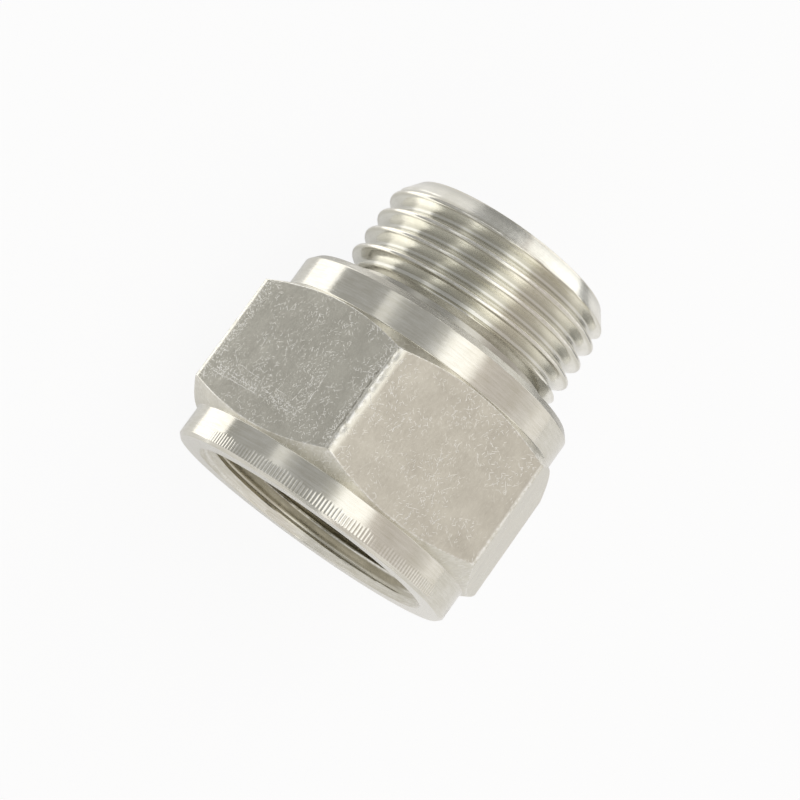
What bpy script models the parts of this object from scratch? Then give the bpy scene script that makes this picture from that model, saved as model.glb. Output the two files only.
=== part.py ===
"""Recessed stuffing-box cable gland: a hexagon body that holds a pressing screw, rings and a seal.

Lengths are in metres. The cable axis is +X, from the mouth to the male thread, and +Z is up.
The body lies on one flat of its hexagon, and the origin is under the middle of its length.
"""

import bmesh
import bpy
from math import cos, pi, radians, sin, tan
from mathutils import Matrix, Vector

# Pipe thread, half inch parallel, on the stem and in the mouth
THREAD_MAJOR = 0.020955
THREAD_MINOR = 0.018631
THREAD_PITCH = 0.0018143

# Hexagon body, outside, from the mouth to the tip of the stem
HEX_ACROSS_FLATS = 0.0270
HEX_ACROSS_CORNERS = 0.0309
HEX_LENGTH = 0.01237
HEX_CHAMFER = radians(30)
MOUTH_COLLAR_DIAMETER = 0.0262
MOUTH_COLLAR_LENGTH = 0.0028
MOUTH_CHAMFER = 0.0003
PANEL_COLLAR_DIAMETER = 0.0261
PANEL_COLLAR_LENGTH = 0.0032
PANEL_CHAMFER_LENGTH = 0.0006
PANEL_CHAMFER_WIDTH = 0.0005
SEAT_RECESS = 0.0002
STEM_LENGTH = 0.0102
TIP_CHAMFER_LENGTH = 0.0017
TIP_FACE_DIAMETER = 0.0184
RELIEF_WIDTH = 0.0011
RELIEF_DEPTH = 0.0010
EDGE_BREAK = 0.0002

# Hexagon body, inside
COUNTERSINK_DIAMETER = 0.0196
COUNTERSINK_DEPTH = 0.0006
ENTRY_BORE_DIAMETER = 0.0145

# Pressing screw, drawn backed off the seal by its loose turns
SCREW_RECESS = 0.0026
SCREW_LENGTH = 0.0044
LOOSE_TURNS = 1
SCREW_FUNNEL = 0.0009
SLOT_WIDTH = 0.0026
SLOT_DEPTH = 0.0020
NOSE_LENGTH = 0.0006
NOSE_WALL = 0.0011

# Rings and seal
RING_THICKNESS = 0.0012
SEAL_LENGTH = 0.0048
SEAL_EDGE = 0.0005
SEAL_BORE_DIAMETER = 0.0124
INNER_SEAL_BORE_DIAMETER = 0.0080
SNAP_RIB_WIDTH = 0.0014
SNAP_RIB_HEIGHT = 0.0007
WASHER_THICKNESS = 0.0008
CABLE_WAY_DIAMETER = 0.0126

# Clearance between neighbours, and the fineness of round forms
CLEARANCE = 0.0003
ROUND_STEPS = 72

# Sizes that follow from those above
CHAMBER_RADIUS = THREAD_MINOR / 2
INSERT_RADIUS = CHAMBER_RADIUS - CLEARANCE
CABLE_WAY_RADIUS = CABLE_WAY_DIAMETER / 2
HEX_START = MOUTH_COLLAR_LENGTH
HEX_END = HEX_START + HEX_LENGTH
COLLAR_END = HEX_END + PANEL_COLLAR_LENGTH
BODY_LENGTH = COLLAR_END + STEM_LENGTH
RING_START = SCREW_RECESS + SCREW_LENGTH + CLEARANCE
SEAL_START = RING_START + RING_THICKNESS + CLEARANCE + LOOSE_TURNS * THREAD_PITCH
WASHER_START = SEAL_START + SEAL_LENGTH + CLEARANCE
CHAMBER_DEPTH = WASHER_START + WASHER_THICKNESS + CLEARANCE


def clear_scene():
    for obj in list(bpy.data.objects):
        bpy.data.objects.remove(obj, do_unlink=True)


def finish(name, colour, roughness, metallic):
    """A plain material of one colour."""
    material = bpy.data.materials.new(name)
    material.use_nodes = True
    shader = material.node_tree.nodes["Principled BSDF"]
    shader.inputs["Base Color"].default_value = (*colour, 1)
    shader.inputs["Roughness"].default_value = roughness
    shader.inputs["Metallic"].default_value = metallic
    return material


def new_object(name, mesh_data, material, parent, start):
    """An object on the cable axis, whose own x = 0 lies at start from the mouth."""
    mesh = bpy.data.meshes.new(name)
    bmesh.ops.recalc_face_normals(mesh_data, faces=mesh_data.faces)
    mesh_data.to_mesh(mesh)
    mesh_data.free()
    mesh.shade_smooth()
    mesh.set_sharp_from_angle(angle=radians(25))
    mesh.materials.append(material)
    obj = bpy.data.objects.new(name, mesh)
    bpy.context.scene.collection.objects.link(obj)
    obj.parent = parent
    obj.location.x = start
    return obj


def turned(profile):
    """A ring turned about X from a closed profile of (x, radius) points."""
    mesh_data = bmesh.new()
    rings = []
    for step in range(ROUND_STEPS):
        angle = 2 * pi * step / ROUND_STEPS
        ring = [mesh_data.verts.new((x, r * sin(angle), r * cos(angle))) for x, r in profile]
        rings.append(ring)
    count = len(profile)
    for step, ring in enumerate(rings):
        after = rings[(step + 1) % ROUND_STEPS]
        for i in range(count):
            j = (i + 1) % count
            mesh_data.faces.new((ring[i], ring[j], after[j], after[i]))
    return mesh_data


def cutter(name, mesh_data, material, parent, start):
    """A helper solid for a Boolean, left out of the finished object."""
    obj = new_object(name, mesh_data, material, parent, start)
    obj.hide_render = True
    obj.display_type = "WIRE"
    return obj


def boolean(obj, tool, operation):
    modifier = obj.modifiers.new(tool.name, "BOOLEAN")
    modifier.operation = operation
    modifier.solver = "EXACT"
    modifier.object = tool


def hexagon_bar(length):
    """A sharp hexagon bar about X, with flats above and below."""
    mesh_data = bmesh.new()
    corner_radius = HEX_ACROSS_FLATS / 2 / cos(pi / 6)
    turn = Matrix.Rotation(pi / 2, 4, "Y")
    bmesh.ops.create_cone(
        mesh_data,
        cap_ends=True,
        segments=6,
        radius1=corner_radius,
        radius2=corner_radius,
        depth=length,
        matrix=Matrix.Translation((length / 2, 0, 0)) @ turn,
    )
    return mesh_data


def make_body(axis, material):
    """Bar turned to two collars and a stem, its hexagon corners coned off at both ends, then bored.

    A shallow recess round the foot of the stem keeps the panel seat clear of the thread's run-out.
    """
    mouth_radius = MOUTH_COLLAR_DIAMETER / 2
    panel_radius = PANEL_COLLAR_DIAMETER / 2
    corner_radius = HEX_ACROSS_CORNERS / 2
    stem_radius = THREAD_MAJOR / 2
    relief_radius = stem_radius - RELIEF_DEPTH
    mouth_cone = (corner_radius - mouth_radius) * tan(HEX_CHAMFER)
    panel_cone = (corner_radius - panel_radius) * tan(HEX_CHAMFER)
    seat_radius = stem_radius + CLEARANCE
    relief_start = COLLAR_END - SEAT_RECESS
    relief_end = COLLAR_END + RELIEF_WIDTH
    outside = [
        (0, COUNTERSINK_DIAMETER / 2),
        (0, mouth_radius - MOUTH_CHAMFER),
        (MOUTH_CHAMFER, mouth_radius),
        (HEX_START, mouth_radius),
        (HEX_START + mouth_cone, corner_radius),
        (HEX_END - panel_cone, corner_radius),
        (HEX_END, panel_radius),
        (COLLAR_END - PANEL_CHAMFER_LENGTH, panel_radius),
        (COLLAR_END, panel_radius - PANEL_CHAMFER_WIDTH),
        (COLLAR_END, seat_radius),
        (relief_start, seat_radius),
        (relief_start, relief_radius),
        (relief_end, relief_radius),
        (relief_end + RELIEF_DEPTH, stem_radius),
        (BODY_LENGTH - TIP_CHAMFER_LENGTH, stem_radius),
        (BODY_LENGTH, TIP_FACE_DIAMETER / 2),
    ]
    inside = [
        (BODY_LENGTH, ENTRY_BORE_DIAMETER / 2 + EDGE_BREAK),
        (BODY_LENGTH - EDGE_BREAK, ENTRY_BORE_DIAMETER / 2),
        (CHAMBER_DEPTH, ENTRY_BORE_DIAMETER / 2),
        (CHAMBER_DEPTH, CHAMBER_RADIUS),
        (COUNTERSINK_DEPTH, CHAMBER_RADIUS),
    ]
    body = new_object("gland_body", turned(outside + inside), material, axis, 0)
    overrun = HEX_ACROSS_CORNERS - HEX_ACROSS_FLATS
    bar = cutter("hexagon_bar", hexagon_bar(BODY_LENGTH + 2 * overrun), material, axis, -overrun)
    boolean(body, bar, "INTERSECT")
    return body


def make_screw(axis, material):
    """Headless hollow screw: a funnel and a driver slot at the mouth side, a nose at the ring side."""
    nose_radius = CABLE_WAY_RADIUS + NOSE_WALL
    profile = [
        (0, CABLE_WAY_RADIUS + SCREW_FUNNEL),
        (0, INSERT_RADIUS - EDGE_BREAK),
        (EDGE_BREAK, INSERT_RADIUS),
        (SCREW_LENGTH - EDGE_BREAK, INSERT_RADIUS),
        (SCREW_LENGTH, INSERT_RADIUS - EDGE_BREAK),
        (SCREW_LENGTH, nose_radius),
        (SCREW_LENGTH + NOSE_LENGTH, nose_radius),
        (SCREW_LENGTH + NOSE_LENGTH, CABLE_WAY_RADIUS),
        (SCREW_FUNNEL, CABLE_WAY_RADIUS),
    ]
    screw = new_object("gland_screw", turned(profile), material, axis, SCREW_RECESS)
    slot_data = bmesh.new()
    size = Vector((2 * SLOT_DEPTH, SLOT_WIDTH, 4 * INSERT_RADIUS))
    bmesh.ops.create_cube(slot_data, size=1, matrix=Matrix.Diagonal((*size, 1)))
    slot = cutter("driver_slot", slot_data, material, axis, SCREW_RECESS)
    boolean(screw, slot, "DIFFERENCE")
    return screw


def make_slip_ring(axis, material):
    """Ring with a counterbore that sits on the screw's nose."""
    socket_radius = CABLE_WAY_RADIUS + NOSE_WALL + CLEARANCE
    profile = [
        (0, socket_radius),
        (0, INSERT_RADIUS),
        (RING_THICKNESS, INSERT_RADIUS),
        (RING_THICKNESS, CABLE_WAY_RADIUS),
        (NOSE_LENGTH, CABLE_WAY_RADIUS),
        (NOSE_LENGTH, socket_radius),
    ]
    return new_object("slip_ring", turned(profile), material, axis, RING_START)


def make_sealing_ring(axis, material):
    """Outer layer of the seal, grooved inside for the inner layer's rib."""
    bore_radius = SEAL_BORE_DIAMETER / 2
    groove_radius = bore_radius + SNAP_RIB_HEIGHT
    groove_start = SEAL_LENGTH / 2 - SNAP_RIB_WIDTH / 2 - CLEARANCE
    groove_end = SEAL_LENGTH - groove_start
    profile = [
        (0, bore_radius),
        (0, INSERT_RADIUS - SEAL_EDGE),
        (SEAL_EDGE, INSERT_RADIUS),
        (SEAL_LENGTH - SEAL_EDGE, INSERT_RADIUS),
        (SEAL_LENGTH, INSERT_RADIUS - SEAL_EDGE),
        (SEAL_LENGTH, bore_radius),
        (groove_end, bore_radius),
        (groove_end, groove_radius),
        (groove_start, groove_radius),
        (groove_start, bore_radius),
    ]
    return new_object("sealing_ring", turned(profile), material, axis, SEAL_START)


def make_inner_seal(axis, material):
    """Inner layer of the seal, held by a rib round its middle."""
    outer_radius = SEAL_BORE_DIAMETER / 2 - CLEARANCE
    bore_radius = INNER_SEAL_BORE_DIAMETER / 2
    rib_start = SEAL_LENGTH / 2 - SNAP_RIB_WIDTH / 2
    rib_end = SEAL_LENGTH - rib_start
    profile = [
        (0, bore_radius + SEAL_EDGE),
        (0, outer_radius),
        (rib_start, outer_radius),
        (rib_start, outer_radius + SNAP_RIB_HEIGHT),
        (rib_end, outer_radius + SNAP_RIB_HEIGHT),
        (rib_end, outer_radius),
        (SEAL_LENGTH, outer_radius),
        (SEAL_LENGTH, bore_radius + SEAL_EDGE),
        (SEAL_LENGTH - SEAL_EDGE, bore_radius),
        (SEAL_EDGE, bore_radius),
    ]
    return new_object("inner_seal", turned(profile), material, axis, SEAL_START)


def make_seat_washer(axis, material):
    """Flat washer between the seal and the body's inner shoulder."""
    profile = [
        (0, CABLE_WAY_RADIUS),
        (0, INSERT_RADIUS),
        (WASHER_THICKNESS, INSERT_RADIUS),
        (WASHER_THICKNESS, CABLE_WAY_RADIUS),
    ]
    return new_object("seat_washer", turned(profile), material, axis, WASHER_START)


def main():
    clear_scene()
    axis = bpy.data.objects.new("cable_axis", None)
    bpy.context.scene.collection.objects.link(axis)
    axis.location = (-BODY_LENGTH / 2, 0, HEX_ACROSS_FLATS / 2)
    make_body(axis, finish("nickel_plate", (0.68, 0.65, 0.58), 0.28, 1.0))
    make_screw(axis, finish("screw_plate", (0.66, 0.64, 0.58), 0.32, 1.0))
    make_slip_ring(axis, finish("polyamide", (0.80, 0.78, 0.70), 0.45, 0.0))
    make_sealing_ring(axis, finish("rubber", (0.025, 0.025, 0.027), 0.75, 0.0))
    make_inner_seal(axis, finish("soft_rubber", (0.12, 0.12, 0.13), 0.70, 0.0))
    make_seat_washer(axis, finish("zinc_steel", (0.62, 0.63, 0.64), 0.35, 1.0))


main()
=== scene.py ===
import math

import bmesh
import bpy
import numpy as np
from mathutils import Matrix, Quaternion, Vector, noise


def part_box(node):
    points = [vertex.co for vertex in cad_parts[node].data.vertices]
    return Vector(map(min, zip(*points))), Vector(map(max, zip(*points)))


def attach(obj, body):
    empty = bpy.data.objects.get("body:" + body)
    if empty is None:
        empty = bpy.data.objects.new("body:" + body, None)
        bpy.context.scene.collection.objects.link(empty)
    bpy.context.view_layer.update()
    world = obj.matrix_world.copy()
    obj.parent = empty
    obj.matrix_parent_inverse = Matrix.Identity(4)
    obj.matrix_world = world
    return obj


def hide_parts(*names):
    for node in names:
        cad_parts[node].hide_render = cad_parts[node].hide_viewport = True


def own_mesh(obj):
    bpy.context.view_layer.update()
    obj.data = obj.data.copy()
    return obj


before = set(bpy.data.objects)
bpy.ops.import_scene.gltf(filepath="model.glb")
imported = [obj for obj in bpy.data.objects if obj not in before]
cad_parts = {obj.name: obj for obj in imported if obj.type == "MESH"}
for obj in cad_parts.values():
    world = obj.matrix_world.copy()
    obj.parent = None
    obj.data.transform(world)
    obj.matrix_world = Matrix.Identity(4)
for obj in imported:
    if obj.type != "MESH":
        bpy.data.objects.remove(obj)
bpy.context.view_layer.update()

MM = 0.001


def corners_mm(node):
    """A CAD node's lowest and highest corners in millimetres."""
    return [[round(value / MM, 4) for value in corner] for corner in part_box(node)]


def along_axis(node):
    """Where a CAD node starts and ends along the cable axis, from the mouth."""
    return [round(corner[0] + LENGTH / 2, 4) for corner in corners_mm(node)]


def crest_at_front(s, angle):
    """Where a thread's crest passes the hexagon's front corner, from a place where it is seen."""
    return s - PITCH * angle / 360


# Sizes in millimetres, s along the cable axis from the mouth, r from the axis
BODY_LOW, BODY_HIGH = corners_mm("gland_body")
LENGTH = BODY_HIGH[0] - BODY_LOW[0]
AXIS_HEIGHT = (BODY_LOW[2] + BODY_HIGH[2]) / 2
HALF_FLATS = (BODY_HIGH[2] - BODY_LOW[2]) / 2
CORNER_RADIUS = BODY_HIGH[1]
CLEARANCE = 0.3

# Half inch parallel pipe thread, of the stem and of the mouth
MAJOR_RADIUS = 10.4775
MINOR_RADIUS = 9.3155
PITCH = 1.8143
THREAD_ROUND = 0.2491
FLANK = math.radians(27.5)
MALE_CREST = crest_at_front(23.28, 8.8)
FEMALE_CREST = crest_at_front(1.8, 188.8)
FEMALE_FADE = (11.0, 12.0)

# Hexagon and collars
CONE = math.tan(math.radians(30))
MOUTH_RADIUS = 13.1
MOUTH_CHAMFER = 0.3
MOUTH_EDGE = 0.1
COUNTERSINK_RADIUS = 11.0
# Where the countersink's light ends and the bore's painted shade begins
COUNTERSINK_LIGHT_END = 0.95
HEX_START = 2.8
HEX_END = 15.17
PANEL_RADIUS = 13.05
PANEL_CHAMFER_LENGTH = 0.6
PANEL_CHAMFER_WIDTH = 0.5
COLLAR_END = 18.37
SEAT_RADIUS = MAJOR_RADIUS + CLEARANCE
SEAT_RECESS = 0.2

# Stem
RELIEF_RADIUS = MAJOR_RADIUS - 1.0
RELIEF_END = COLLAR_END + 1.1
RUN_OUT = 1.4
RUN_OUT_SLOPE = 0.9
RUN_OUT_SOFT = 0.06
TIP_CHAMFER_START = 26.8
TIP_FADE = (TIP_CHAMFER_START - 0.2, TIP_CHAMFER_START + 0.7)
TIP_FACE_RADIUS = 9.2
MALE_END = LENGTH - 0.2
ENTRY_RADIUS = 7.25
EDGE_BREAK = 0.2

# Knocks along the hexagon's corners, within some degrees of them, and a bruise on the front one
CORNER_REACH = 1.6
CORNER_KNOCK = 0.06
KNOCK_ALL_ROUND = 0.6
KNOCKS_WIDE = 0.9
KNOCKS_FINE = 3.1
KNOCKS_FINE_SHARE = 0.7
KNOCKS_BIAS = 0.15
KNOCKS_APART = 7.3
CORNER_SOFT = 0.03
BRUISE_TURN = 16
BRUISE_DISTANCE = 14.85

# Inner pieces
SCREW_START, NOSE_END = along_axis("gland_screw")
RING_START, RING_END = along_axis("slip_ring")
SEAL_START, SEAL_END = along_axis("sealing_ring")
WASHER_START, WASHER_END = along_axis("seat_washer")
CHAMBER_DEPTH = WASHER_END + CLEARANCE
INSERT_RADIUS = MINOR_RADIUS - CLEARANCE
NOSE_LENGTH = 0.6
NOSE_RADIUS = 7.4
SCREW_END = NOSE_END - NOSE_LENGTH
SCREW_LEAD = 0.1
SCREW_GAP = 0.1
WAY_RADIUS = 6.3
FUNNEL = 0.9
SLOT_WIDTH = 2.6
SLOT_DEPTH = 2.0
SLOT_TOOL_LENGTH = 30
SOCKET_RADIUS = NOSE_RADIUS + CLEARANCE
SEAL_MIDDLE = (SEAL_START + SEAL_END) / 2
SEAL_BORE = 6.2
INNER_BORE = 4.0
RIB_WIDTH = 1.4
RIB_HEIGHT = 0.7

# Roundings of edges, from keen to full
HAIR = 0.03
KEEN = 0.04
CRISP = 0.05
FINE = 0.06
SMALL = 0.08
PLAIN = 0.1
EASED = 0.12
INNER_LIP = 0.5
OUTER_LIP = 0.55

# Meshing
FILLET_STEPS = 3
FILLET_SUPPORT = 0.05
HEX_ROWS = 44
HEX_MARGIN = 0.3
ROUND_STEPS = 3
FLANK_STEPS = 4
SPARE_TURNS = 3
SNAP = 0.06
SHARP_ANGLE = math.radians(32)
INNER_ANGLES = np.arange(0, 360, 2.5)

# Columns of the body, in degrees from the front corner, closer together at the hexagon's corners
HALF_SECTOR = [*range(0, 27, 2), 27.4, 28.2, 28.7, 29.0, 29.3, 29.65]
SECTOR = sorted({d for h in HALF_SECTOR for d in (-h, h)}) + [30.0]
BODY_ANGLES = np.array([30.0 + 60 * k + d for k in range(6) for d in SECTOR])

# Places of the materials in the body's list, and how far past an edge one reaches
MOUTH_PLATE, HEX_PLATE, COLLAR_PLATE, THREAD_PLATE, BORE_PLATE, FOOT_PLATE = range(6)
HEX_PLATE_MARGIN = 0.05
FOOT_PLATE_MARGIN = 0.03

# Wear and painted highlight: how deep the bright line on a thread's crest reaches, how wide the one on the
# hexagon's edges is, also in degrees, and the step from the lit countersink to the bore's painted shade
CREST_LINE = 0.016
HEX_WEAR_AND_HIGHLIGHT_WIDTH = 0.1
HEX_WEAR_AND_HIGHLIGHT_TURN = 1.4
BORE_SHADE_STEP = 0.06

# Chatter marks beside the mouth's rim, with painted highlight and painted shade on their stripes: spacing
# in degrees, where they start and end along the axis, and the stretch round it that always shows them
CHATTER_STEP = 1.4
CHATTER_DRIFT = 1.5
CHATTER_CHANGE = 0.25
CHATTER_START = (0.2, 0.35)
CHATTER_END = 0.85
CHATTER_END_SOFT = 0.25
CHATTER_FROM = (-4.0, 6.0)
CHATTER_TO = (80.0, 70.0)
CHATTER_PATCHES = (0.5, 0.6)
CHATTER_SEEN = 0.2
CHATTER_LIGHT = 0.5
CHATTER_SHADE = 0.3

# How fast the rings of the lathe tool change round the axis
RING_CHANGE = 0.02

# Nicks as cells per mm, shift, half length and half width in cells, and the share of cells that hold one
NICK_LAYERS = (
    (1.6, 0.0, 0.30, 0.036, 0.6), (2.6, 31.7, 0.28, 0.05, 0.65),
    (0.8, 77.3, 0.42, 0.016, 0.35), (2.1, 113.3, 0.30, 0.045, 0.6),
)
PACKED_LAYERS = ((3.4, 12.9, 0.34, 0.08, 0.8), (2.3, 55.1, 0.36, 0.05, 0.8))
NICK_TURN = 2.6
NICK_BEND = 0.9
SOFT_SIDE = 0.3
SOFT_END = 0.6

# Lines on the hexagon's front left face, as two ends in mm along the axis and round it, and half a width:
# long scores, bands where nicks crowd together, and one line of painted shade along a groove
SCORES = (
    (5.12, 20.2, 5.2, 11.0, 0.035), (5.5, 20.0, 5.4, 11.4, 0.03), (5.8, 20.1, 5.65, 11.9, 0.035),
    (9.4, 10.9, 5.4, 10.62, 0.035), (8.5, 11.75, 6.1, 12.1, 0.03), (6.6, 19.6, 6.2, 12.4, 0.025),
)
CROWDS = (
    (5.7, 20.0, 5.5, 11.2, 0.9), (9.2, 11.4, 5.6, 11.2, 0.7),
    (4.6, 7.6, 13.0, 7.6, 0.6), (4.6, 20.6, 13.5, 20.6, 0.7),
)
DARK_LINE = (11.5, 7.42, 5.2, 7.36, 0.09)
LINE_SWAY = 0.25

# Colours
NICKEL = (0.735, 0.705, 0.605)
NICKEL_PALE = (0.80, 0.78, 0.71)
NICKEL_DEEP = (0.65, 0.625, 0.535)
# Near-white nickel: painted highlight on the crest lines, partly wear, and on the chatter marks' light
# stripes
NICKEL_WEAR_AND_HIGHLIGHT = (0.95, 0.935, 0.88)
HEX_PALE = (0.755, 0.73, 0.635)
HEX_DEEP = (0.655, 0.63, 0.545)
# Painted shade on the chatter marks' dark stripes
CHATTER_DARK = (0.42, 0.40, 0.33)
# Near-white of the nicks, scores and hexagon edges: a painted glint on real marks
NICK_BRIGHT = (1.0, 0.99, 0.95)
# Painted shade along a groove on the front left face
LINE_DARK = (0.3, 0.28, 0.23)
# The stem's thread in lighter nickel than the rest of the plate: painted light against the shade between
# its turns
THREAD_DEEP = (0.82, 0.805, 0.725)
THREAD_PALE = (0.92, 0.905, 0.835)
# Dark olive of the bore: painted shade inside the mouth
BORE_DEEP = (0.34, 0.31, 0.225)
BORE_PALE = (0.52, 0.48, 0.365)
# Painted shade in the thread's roots, as a share of the thread's colour
ROOT_SHADE = 0.76
# Painted shade: the chamfer, seat and groove at the stem's foot darker than the collar
FOOT_SHADE = 0.72
POLYAMIDE = (0.80, 0.78, 0.70)
POLYAMIDE_DEEP = (0.72, 0.69, 0.60)
RUBBER = (0.025, 0.025, 0.027)
RUBBER_PALE = (0.04, 0.04, 0.042)
INNER_RUBBER = (0.12, 0.12, 0.13)
INNER_RUBBER_PALE = (0.16, 0.16, 0.17)
FLOOR_COLOUR = (0.93, 0.93, 0.93)

# The part of a noise's range that is spread over two tones, two roughnesses or bare and full
TONE_BAND = (0.35, 0.65)
HEX_TONE_BAND = (0.38, 0.62)
ROUGH_BAND = (0.3, 0.7)
NICK_CLOUD_BAND = (0.42, 0.56)
LINE_GAP_BAND = (0.42, 0.55)
FRAY_BAND = (0.4, 0.6)
SPECK_BAND = (0.3, 0.6)

# The part of a thread's depth over which painted shade darkens its roots and its crests
ROOT_BAND = (MINOR_RADIUS + 0.5, MINOR_RADIUS + 0.05)
CREST_BAND = (MAJOR_RADIUS - 0.3, MAJOR_RADIUS - 0.1)
DEPTH_SHADE = 0.8

# How much of a mark's colour shows, and how many nicks lie outside their clouds
NICK_SHOWS = 0.95
FRAY_HIGHLIGHT_SHOWS = 0.8
LINE_SHOWS = 0.7
STRAY_NICKS = 0.15

# Heights of bumps in metres
RING_BUMP = 0.00002
CHATTER_BUMP = 0.000008
SKIN_BUMP = 0.00001
RUBBER_BUMP = 0.00003

# Studio: brightness and warmth by the angle round the cable axis, from the +Y horizon over the top
TENT_PEAK = 1.5
TENT = (
    (0, 0.45, 0.0), (15, 0.45, 0.0), (17, 0.88, 0.0), (24, 0.88, 0.0), (29, 0.58, 0.0), (38, 0.42, 0.0),
    (58, 0.44, 0.0), (67, 0.66, 0.0), (75, 1.4, 0.0), (96, 1.4, 0.2), (103, 0.72, 1.0), (116, 0.63, 1.0),
    (140, 0.69, 0.8), (154, 0.78, 0.5), (164, 0.96, 0.4), (180, 0.92, 0.4),
)
TENT_WARMTH = (1.03, 0.97, 0.93)

# The same beyond the stem, which the thread's flanks mirror, and on the axis, which the tip mirrors
FLANK_TENT = (
    (0, 0.45, 0.0), (9, 0.45, 0.0), (12, 1.4, 0.0), (22, 1.4, 0.0), (28, 0.5, 0.0), (38, 0.36, 0.2),
    (72, 0.38, 0.3), (82, 0.66, 0.3), (88, 1.45, 0.2), (106, 1.45, 0.3), (112, 0.66, 1.0),
    (122, 0.5, 1.0), (140, 0.5, 0.9), (154, 0.6, 0.6), (164, 0.9, 0.4), (180, 0.92, 0.4),
)
TIP_TENT = (
    (0, 0.45, 0.0), (15, 0.45, 0.0), (17, 0.88, 0.0), (24, 0.88, 0.0), (28, 0.66, 0.0), (38, 1.4, 0.0),
    (96, 1.4, 0.2), (103, 0.72, 1.0), (116, 0.63, 1.0),
    (140, 0.69, 0.8), (154, 0.78, 0.5), (164, 0.96, 0.4), (180, 0.92, 0.4),
)
FLANK_TENT_FROM = (0.55, 0.7)
TIP_TENT_FROM = (0.88, 0.94)
SKY_SEEN = 0.97

# Floor, cards and lamp in metres: a card's two lower corners, its height and its level
FLOOR_REACH = 2
FLOOR_ROUGHNESS = 0.9
FLOOR_SEEN = 0.9
FLOOR_MIRRORED = 0.3
CARDS = {
    "grey_card": ((-0.08, 0.045), (0.1, 0.045), 0.030, 0.45),
    "end_card": ((0.075, 0.08), (0.1, -0.002), 0.034, 0.38),
    "white_card": ((0.1, -0.006), (0.08, -0.09), 0.036, 1.35),
    "right_card": ((0.0125, -0.042), (0.06, -0.042), 0.016, 0.4),
}
STRIP_MIDDLE = 0.004
STRIP_FROM = 0.019
STRIP_TO = 0.043
STRIP_HEIGHT = 0.0005
STRIP_LENGTH = 0.06
STRIP_LEVEL = 0.75

# Camera, fitted to outlines in the photograph, in metres and with the lens in millimetres
SENSOR_WIDTH = 36.0
LENS = 124.757
NEAREST = 0.01
FARTHEST = 20.0
CAMERA_PLACE = (-0.0386528, 0.081189, 0.2225218)
CAMERA_TURN = (0.8783918, -0.1261058, -0.1558918, -0.4338466)


def place(s, r, angle):
    """A point in metres in the row frame."""
    turn = math.radians(30 - angle)
    return (
        (s - LENGTH / 2) * MM,
        r * math.sin(turn) * MM,
        (AXIS_HEIGHT + r * math.cos(turn)) * MM,
    )


def share_between(value, low, high):
    """How far a value has come from one end to the other, from 0 to 1."""
    return min(1.0, max(0.0, (value - low) / (high - low)))


def corner_dent(angle, s):
    """How deep the knocks along the hexagon's corners are."""
    corner = round(angle / 60)
    close = max(0.0, 1 - abs(angle - 60 * corner) / CORNER_REACH)
    if close == 0:
        return 0.0
    lane = corner % 6 * KNOCKS_APART
    wide = noise.noise(Vector((s * KNOCKS_WIDE, lane, 0.5)))
    fine = noise.noise(Vector((s * KNOCKS_FINE, lane, 9.5)))
    return close * CORNER_KNOCK * max(0.0, wide + KNOCKS_FINE_SHARE * fine + KNOCKS_BIAS)


def softer_of(one, two, soft):
    """The smaller of two radii, rounded where they cross."""
    gap = one - two
    return (one + two - math.sqrt(gap * gap + soft * soft)) / 2


def hexagon_radius(angle, dent=0.0):
    """The hexagon's surface. Its corners are turned to a narrow strip, and the front one is bruised."""
    off = (angle % 60) - 30
    r = softer_of(HALF_FLATS / math.cos(math.radians(off)), CORNER_RADIUS, CORNER_SOFT)
    from_front = (angle + 180) % 360 - 180
    if abs(from_front) < 30:
        bruise = (BRUISE_DISTANCE - dent) / math.cos(math.radians(from_front - BRUISE_TURN))
        r = softer_of(r, bruise, CORNER_SOFT)
    return r


def direction(start, end):
    """The unit vector from one point to another."""
    step = np.array(end) - np.array(start)
    return step / np.linalg.norm(step)


def filleted(corners):
    """Points along a profile of (s, r, rounding) corners, with a point close to each rounding's ends."""
    points = []
    for i, (*here, rounding) in enumerate(corners):
        here = np.array(here)
        if rounding == 0:
            points.append(here)
            continue
        before = direction(here, corners[i - 1][:2])
        after = direction(here, corners[(i + 1) % len(corners)][:2])
        opening = math.acos(max(-1.0, min(1.0, float(before @ after))))
        trim = rounding / math.tan(opening / 2)
        middle = direction((0, 0), before + after)
        centre = here + middle * rounding / math.sin(opening / 2)
        first = here + before * trim - centre
        last = here + after * trim - centre
        sweep = math.pi - opening
        points.append(here + before * (trim + FILLET_SUPPORT))
        for k in range(FILLET_STEPS + 1):
            t = k / FILLET_STEPS
            near = math.sin((1 - t) * sweep) / math.sin(sweep)
            far = math.sin(t * sweep) / math.sin(sweep)
            points.append(centre + first * near + last * far)
        points.append(here + after * (trim + FILLET_SUPPORT))
    return points


def thread_depth(off):
    """How far the rounded 55 degree thread lies below its crest, off along the axis from it."""
    off = abs((off + PITCH / 2) % PITCH - PITCH / 2)
    run = THREAD_ROUND * math.cos(FLANK)
    drop = THREAD_ROUND * (1 - math.sin(FLANK))
    height = MAJOR_RADIUS - MINOR_RADIUS
    if off < run:
        return THREAD_ROUND - math.sqrt(THREAD_ROUND**2 - off**2)
    if off > PITCH / 2 - run:
        from_root = PITCH / 2 - off
        return height - THREAD_ROUND + math.sqrt(THREAD_ROUND**2 - from_root**2)
    return drop + (height - 2 * drop) * (off - run) / (PITCH / 2 - 2 * run)


def thread_steps():
    """Places of the rows within one pitch, starting at a crest."""
    run = THREAD_ROUND * math.cos(FLANK)
    rounding = [run * k / ROUND_STEPS for k in range(ROUND_STEPS + 1)]
    flank = [run + (PITCH / 2 - 2 * run) * k / FLANK_STEPS for k in range(1, FLANK_STEPS)]
    half = rounding + flank + [PITCH / 2 - x for x in reversed(rounding)]
    return half[:-1] + [PITCH - x for x in reversed(half[1:])]


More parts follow.
